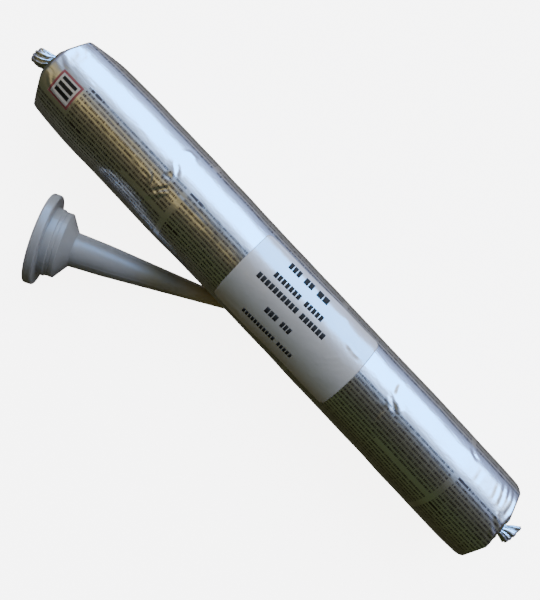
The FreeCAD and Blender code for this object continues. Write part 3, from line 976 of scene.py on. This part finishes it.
def ruled_box(shader, u, s):
    """Masks for the box's frame, for its panel, and for the three plain bars in it."""
    m = shader.math
    du = m("ABSOLUTE", m("SUBTRACT", u, BOX_CENTRE[0]))
    ds = m("ABSOLUTE", m("SUBTRACT", s, BOX_CENTRE[1]))
    reach = m("MAXIMUM", du, ds)
    frame_ink = shader.band(reach, BOX_HALF - BOX_LINE, BOX_HALF, 0.08)
    panel = shader.step(reach, BOX_HALF, BOX_HALF - 0.1)
    rule = m("ABSOLUTE", m("SUBTRACT", m("FRACT", m("DIVIDE", m("ADD", s, 20.0), BAR_PITCH)), 0.5))
    bars = shader.every(
        shader.step(du, 4.7, 4.5), shader.step(ds, 4.9, 4.7), shader.step(rule, 0.34, 0.3)
    )
    return frame_ink, panel, bars


PRINT_INK = (0.034, 0.014, 0.008, 1.0)
FRAME_INK = (0.24, 0.022, 0.024, 1.0)
PANEL_INK = (0.5, 0.43, 0.36, 1.0)


def foil_material():
    """Printed aluminium laminate: satin metal with a faint grain, and ink that dulls it."""
    shader = Shader("printed_foil")
    m = shader.math
    uv = shader.add("UVMap", uv_map="film").outputs["UV"]
    split = shader.add("SeparateXYZ")
    shader.feed(split.inputs[0], uv)
    u, s = split.outputs["X"], split.outputs["Y"]
    fine = fine_print(shader, u, s)
    frame_ink, panel, bars = ruled_box(shader, u, s)
    cloud = shader.noise(shader.stretched(uv, (0.03, 0.05, 1.0)), 1.0, 3.0)
    grain = shader.noise(shader.stretched(uv, (0.25, 3.2, 1.0)), 1.0, 2.0)
    metal = shader.mix(cloud, grey(0.66, (1.0, 1.0, 0.97)), grey(0.76, (0.99, 1.0, 1.0)))
    wear = m("MULTIPLY", shader.step(shader.noise(uv, 1.7, 4.0), 0.34, 0.46), 0.08)
    ink = m("MULTIPLY", fine, m("SUBTRACT", 0.97, wear))
    panel = m("MULTIPLY", panel, 0.65)
    frame_share = m("MULTIPLY", frame_ink, 0.9)
    colour = shader.mix(panel, metal, PANEL_INK)
    colour = shader.mix(ink, colour, PRINT_INK)
    colour = shader.mix(frame_share, colour, FRAME_INK)
    colour = shader.mix(bars, colour, grey(0.012))
    inked = m("MAXIMUM", m("MAXIMUM", ink, bars), m("MAXIMUM", frame_share, panel))
    roughness = m("ADD", 0.11, m("MULTIPLY", grain, 0.1))
    shader.set(
        Base_Color=colour,
        Metallic=shader.blend(m("MAXIMUM", frame_share, panel), 0.97, 0.2),
        Roughness=shader.blend(inked, roughness, 0.36),
    )
    ripple = shader.noise(shader.stretched(uv, (0.16, 0.42, 1.0)), 1.0, 3.0, 0.55)
    normal = shader.bump(ripple, 0.3, 0.00035)
    normal = shader.bump(grain, 0.12, 0.00006, normal)
    shader.set(Normal=normal)
    return shader.material


def label_material():
    """Coated label paper: a little sheen, and a faint mottle from the film under it."""
    shader = Shader("label_paper")
    uv = shader.add("UVMap", uv_map="film").outputs["UV"]
    mottle = shader.noise(uv, 0.11, 3.0)
    fibre = shader.noise(uv, 2.4, 3.0, 0.6)
    colour = shader.mix(mottle, (0.61, 0.565, 0.535, 1.0), (0.685, 0.635, 0.595, 1.0))
    shader.set(
        Base_Color=colour,
        Metallic=0.4,
        Roughness=shader.math("ADD", 0.14, shader.math("MULTIPLY", fibre, 0.06)),
        IOR=1.6,
    )
    normal = shader.bump(mottle, 0.4, 0.0006)
    shader.set(Normal=shader.bump(fibre, 0.15, 0.00004, normal))
    return shader.material


def mark_material():
    """Black thermal print, slightly uneven."""
    shader = Shader("label_ink")
    uneven = shader.noise(shader.object_place(), 900.0, 3.0)
    shader.set(
        Base_Color=shader.mix(uneven, grey(0.02), grey(0.035)),
        Roughness=shader.math("ADD", 0.7, shader.math("MULTIPLY", uneven, 0.15)),
        IOR=1.15,
    )
    return shader.material


# The nozzle's colours: two that its thick parts vary between, a painted shade along the spout, and a
# painted light on the tip that offsets the pack's shadow there. Each change lies between two places
# along the nozzle's axis, in metres.
NOZZLE_THICK = ((0.25, 0.235, 0.225, 1.0), (0.32, 0.30, 0.29, 1.0))
NOZZLE_SPOUT_PAINTED_SHADE = (0.2, 0.165, 0.095, 1.0)
NOZZLE_TIP_PAINTED_LIGHT = (0.4, 0.33, 0.18, 1.0)
SPOUT_SHADE_FROM = (-0.084, -0.064)
TIP_LIGHT_FROM = (-0.062, -0.04)


def nozzle_material():
    """Milky natural polyethylene, which lets some light through."""
    shader = Shader("milky_plastic")
    place = shader.object_place()
    cloud = shader.noise(place, 42.0, 3.0)
    fine = shader.noise(place, 520.0, 3.0)
    along = shader.add("VectorMath", operation="DOT_PRODUCT")
    shader.feed(along.inputs[0], place)
    shader.feed(along.inputs[1], NOZZLE_AXIS)
    # Painted shade darkens the spout along its axis, where the spout also gets rougher, and painted
    # light makes the tip paler again where the pack's shadow falls.
    spout_shade_and_rough = shader.step(along.outputs["Value"], *SPOUT_SHADE_FROM)
    tip_light = shader.step(along.outputs["Value"], *TIP_LIGHT_FROM)
    colour = shader.mix(spout_shade_and_rough, shader.mix(cloud, *NOZZLE_THICK), NOZZLE_SPOUT_PAINTED_SHADE)
    scuffed = shader.math("MULTIPLY", fine, 0.12)
    shader.set(
        Base_Color=shader.mix(tip_light, colour, NOZZLE_TIP_PAINTED_LIGHT),
        Roughness=shader.math("ADD", shader.blend(spout_shade_and_rough, 0.3, 0.52), scuffed),
        IOR=1.5,
        Subsurface_Weight=0.35,
        Subsurface_Radius=(0.004, 0.0042, 0.0045),
        Subsurface_Scale=1.0,
        Transmission_Weight=0.12,
    )
    normal = shader.bump(cloud, 0.3, 0.0004)
    shader.set(Normal=shader.bump(fine, 0.12, 0.00006, normal))
    return shader.material


def wire_material():
    """Drawn aluminium wire, with scratches and a darker dust in them."""
    shader = Shader("clip_wire")
    place = shader.object_place()
    scratch = shader.noise(shader.stretched(place, (2600.0, 300.0, 300.0)), 1.0, 3.0)
    stain = shader.noise(place, 260.0, 3.0)
    shader.set(
        Base_Color=shader.mix(stain, grey(0.52), grey(0.72, (1.0, 1.0, 1.02))),
        Metallic=1.0,
        Roughness=shader.math("ADD", 0.24, shader.math("MULTIPLY", scratch, 0.22)),
        Normal=shader.bump(scratch, 0.35, 0.00008),
    )
    return shader.material


for obj, material in (
    (foil, foil_material()),
    (label, label_material()),
    (marks, mark_material()),
    (nozzle, nozzle_material()),
):
    obj.data.materials.append(material)
wire = wire_material()
for clip in (left_clip, right_clip):
    clip.data.materials.append(wire)


# The floor, light and camera.


# The floor: half its side and how far it lies under the pack, in metres, and how it glows.
FLOOR_HALF = 6.0
FLOOR_DROP = 0.0001
FLOOR_GLOW = 6.0


def make_floor():
    """A plain pale floor, which isn't mirrored in the film."""
    corners = [(FLOOR_HALF * x, FLOOR_HALF * y, 0) for x, y in ((-1, -1), (1, -1), (1, 1), (-1, 1))]
    mesh = bpy.data.meshes.new("floor")
    mesh.from_pydata(corners, [], [(0, 1, 2, 3)])
    floor = bpy.data.objects.new("floor", mesh)
    bpy.context.collection.objects.link(floor)
    floor.location.z = -FLOOR_DROP
    shader = Shader("floor")
    speckle = shader.noise(shader.object_place(), 180.0, 2.0)
    shader.set(
        Base_Color=shader.mix(speckle, grey(0.86), grey(0.88)),
        Roughness=0.9,
        Emission_Color=(1.0, 0.98, 0.96, 1.0),
        Emission_Strength=FLOOR_GLOW,
    )
    mesh.materials.append(shader.material)
    floor.visible_glossy = False
    floor.visible_diffuse = False
    floor.visible_transmission = False


# The studio round the pack: how bright it is at each angle from straight up towards +Y,
# first where it faces the pack's left half and then where it faces the right half.
SURROUND = [
    (-180.0, (0.05, 0.05, 0.03), (0.05, 0.05, 0.03)),
    (-142.0, (0.07, 0.07, 0.055), (0.055, 0.055, 0.03)),
    (-115.0, (0.09, 0.09, 0.07), (0.045, 0.045, 0.02)),
    (-87.0, (0.06, 0.064, 0.035), (0.06, 0.07, 0.028)),
    (-60.0, (0.075, 0.075, 0.035), (0.06, 0.075, 0.03)),
    (-40.0, (0.12, 0.105, 0.055), (0.06, 0.067, 0.032)),
    (-29.0, (0.22, 0.185, 0.095), (0.065, 0.067, 0.04)),
    (-18.0, (0.75, 0.60, 0.27), (0.085, 0.085, 0.058)),
    (-7.0, (0.50, 0.44, 0.28), (0.12, 0.12, 0.10)),
    (6.0, (0.34, 0.35, 0.34), (0.18, 0.19, 0.20)),
    (22.0, (0.65, 0.85, 1.3), (0.65, 0.9, 1.45)),
    (34.0, (1.4, 2.1, 3.4), (1.5, 2.3, 3.9)),
    (42.0, (3.6, 4.2, 5.0), (3.6, 4.2, 5.0)),
    (80.0, (3.6, 4.2, 5.0), (3.6, 4.2, 5.0)),
    (86.0, (1.0, 1.5, 2.7), (0.85, 1.25, 2.4)),
    (103.0, (0.52, 0.70, 1.3), (0.4, 0.5, 0.9)),
    (118.0, (0.39, 0.38, 0.43), (0.35, 0.35, 0.39)),
    (150.0, (0.21, 0.20, 0.19), (0.20, 0.19, 0.18)),
    (180.0, (0.05, 0.05, 0.03), (0.05, 0.05, 0.03)),
]
HALVES_MEET = (-0.18, -0.06)
# Towards the pack's ends the light gets no brighter than one colour. That sets in between
# two slants, given as sines and counted from one a little left of upright.
DIM_MIDDLE = -0.09
DIM_FROM, DIM_TO = 0.45, 0.7
DIM_COLOUR = (0.24, 0.25, 0.4, 1.0)
# The window's brightest part is a colder white where the film mirrors it.
WINDOW_FROM, WINDOW_TO = 2.2, 4.0
WINDOW_MIRRORED = (1.4, 6.0, 15.0, 1.0)
SEEN_BRIGHTNESS = (6.6, 6.5, 6.4, 1.0)


def surround_ramp(nodes, share, half):
    """The surround's colours round the pack, for one half of the pack."""
    ramp = nodes.add("ValToRGB")
    stops = ramp.color_ramp.elements
    for row in SURROUND[1:-1]:
        stops.new((row[0] + 180.0) / 360.0)
    for stop, row in zip(stops, SURROUND):
        stop.color = row[half] + (1.0,)
    nodes.feed(ramp.inputs["Fac"], share)
    return ramp.outputs["Color"]


def set_world():
    """Soft light that changes from side to side. The camera sees plain white instead."""
    world = bpy.data.worlds.new("studio")
    bpy.context.scene.world = world
    world.use_nodes = True
    nodes = Nodes(world.node_tree)
    split = nodes.add("SeparateXYZ")
    nodes.feed(split.inputs[0], nodes.add("TexCoord").outputs["Generated"])
    turn = nodes.math("ARCTAN2", split.outputs["Y"], split.outputs["Z"])
    share = nodes.rise(turn, -math.pi, math.pi)
    halves = [surround_ramp(nodes, share, half) for half in (1, 2)]
    light = nodes.mix(nodes.rise(split.outputs["X"], *HALVES_MEET), *halves)
    slant = nodes.math("ABSOLUTE", nodes.math("SUBTRACT", split.outputs["X"], DIM_MIDDLE))
    light = nodes.mix(nodes.rise(slant, DIM_FROM, DIM_TO), light, DIM_COLOUR, "DARKEN")
    parts = nodes.add("SeparateColor")
    nodes.feed(parts.inputs[0], light)
    window = nodes.rise(parts.outputs["Green"], WINDOW_FROM, WINDOW_TO)
    path = nodes.add("LightPath")
    mirrored = nodes.math("MULTIPLY", window, path.outputs["Is Glossy Ray"])
    light = nodes.mix(mirrored, light, WINDOW_MIRRORED)
    light = nodes.mix(path.outputs["Is Camera Ray"], light, SEEN_BRIGHTNESS)
    nodes.feed(world.node_tree.nodes["Background"].inputs["Color"], light)


# The camera: its place, its turns in degrees, and its focal length in pixels of the image.
CAMERA_PLACE = (-1.661, -3.462, 352.668)
CAMERA_ROLL = 46.615
CAMERA_TILT = (-0.1, 0.01)
FOCAL_PIXELS = 636.084
IMAGE_LONG_SIDE = 600
SENSOR = 36.0


def set_camera():
    """A camera over the pack that looks almost straight down."""
    data = bpy.data.cameras.new("camera")
    data.sensor_width = SENSOR
    data.lens = FOCAL_PIXELS / IMAGE_LONG_SIDE * SENSOR
    data.clip_start = 0.01
    camera = bpy.data.objects.new("camera", data)
    bpy.context.collection.objects.link(camera)
    turn = Matrix.Rotation(math.radians(CAMERA_ROLL), 4, "Z")
    turn = turn @ Matrix.Rotation(math.radians(CAMERA_TILT[0]), 4, "X")
    turn = turn @ Matrix.Rotation(math.radians(CAMERA_TILT[1]), 4, "Y")
    camera.matrix_world = Matrix.Translation(Vector(CAMERA_PLACE) * MM) @ turn
    bpy.context.scene.camera = camera


def add_softbox(name, place, size, watts, colour):
    """A large soft light that faces the pack and isn't mirrored in the film."""
    data = bpy.data.lights.new(name, "AREA")
    data.shape = "RECTANGLE"
    data.size, data.size_y = size
    data.energy = watts
    data.color = colour
    light = bpy.data.objects.new(name, data)
    bpy.context.collection.objects.link(light)
    light.location = place
    light.rotation_euler = (-Vector(place)).to_track_quat("-Z", "Y").to_euler()
    light.visible_glossy = False


make_floor()
set_world()
add_softbox("window", (0.1, 0.9, 0.8), (1.2, 0.7), 3.0, (0.9, 0.96, 1.0))
set_camera()
